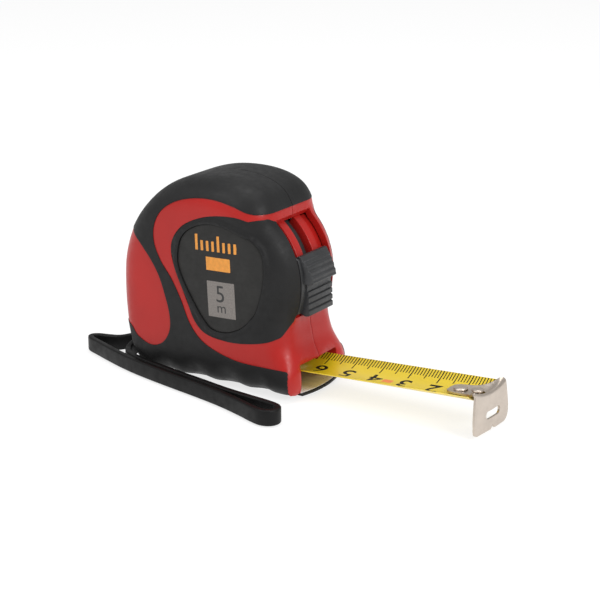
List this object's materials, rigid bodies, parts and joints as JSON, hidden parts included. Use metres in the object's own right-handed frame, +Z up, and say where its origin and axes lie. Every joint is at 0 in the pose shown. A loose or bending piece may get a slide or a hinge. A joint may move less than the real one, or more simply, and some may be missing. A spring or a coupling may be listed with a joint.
{
  "type": "pocket tape measure",
  "caption": "Pocket tape measure with a rubber-covered case, thumb lock, belt clip, wrist strap and a spring-wound steel blade, shown part drawn.",
  "frame": {"origin": "on the surface it stands on, under the middle of its box without the strap", "axes": "+X along the drawn blade towards the hook, +Y towards the belt clip, +Z up. The tool stands on the rear of its sole and the tip of its hook, so the drawn blade rises by 2.6 degrees and the sole by 0.9 degrees towards the front"},
  "size_m": [0.1443, 0.0603, 0.0662],
  "materials": {
    "red_shell": "satin moulded red",
    "grip_rubber": "fine matte grain",
    "label": null,
    "black_plastic": "satin moulded black",
    "blade": "yellow lacquer with black marks",
    "nickel": "satin nickel plate",
    "steel": "plain",
    "wear_plate": "plain",
    "reel_plastic": "plain moulded white",
    "strap_vinyl": "smooth matte vinyl"
  },
  "bodies": {
    "case": {"case_left": "red_shell", "case_right": "red_shell", "grip_left": "grip_rubber", "grip_right": "grip_rubber", "panel_left": "grip_rubber", "panel_right": "grip_rubber", "label_plate": "label", "mouth_plate": "wear_plate", "spindle": "steel", "blade_inner_run": "blade", "brake_arm": "black_plastic", "case_screw_1": "steel", "case_screw_2": "steel", "case_screw_3": "steel", "case_screw_4": "steel", "belt_clip": "nickel", "clip_screw": "steel", "strap_pin": "steel", "wrist_strap": "strap_vinyl"},
    "reel": {"reel": "reel_plastic", "reel_cover": "reel_plastic", "blade_coil": "blade", "power_spring": "steel"},
    "lock": {"thumb_lock": "black_plastic"},
    "blade": {"blade": "blade", "hook_rivet_1": "nickel", "hook_rivet_2": "nickel"},
    "hook": {"hook": "nickel"}
  },
  "joints": [
    {"name": "blade_slide", "type": "slide", "parent": "case", "child": "blade", "axis": [0.999, 0, 0.0454], "range_m": [-0.0565, 0], "deforming": ["blade_inner_run"]},
    {"name": "reel_spin", "type": "hinge", "parent": "case", "child": "reel", "pos_m": [-0.03066, -0.0033, 0.03501], "axis": [0, 1, 0], "range_deg": [0, 155]},
    {"name": "lock_travel", "type": "hinge", "parent": "case", "child": "lock", "pos_m": [-0.02334, -0.0033, 0.03484], "axis": [0, -1, 0], "range_deg": [0, 25]},
    {"name": "hook_float", "type": "slide", "parent": "blade", "child": "hook", "axis": [0.999, 0, 0.0454], "range_m": [-0.0008, 0]}
  ],
  "couplings": [
    {"joint": "reel_spin", "follows": "blade_slide", "rad_per_m": -45.87}
  ]
}
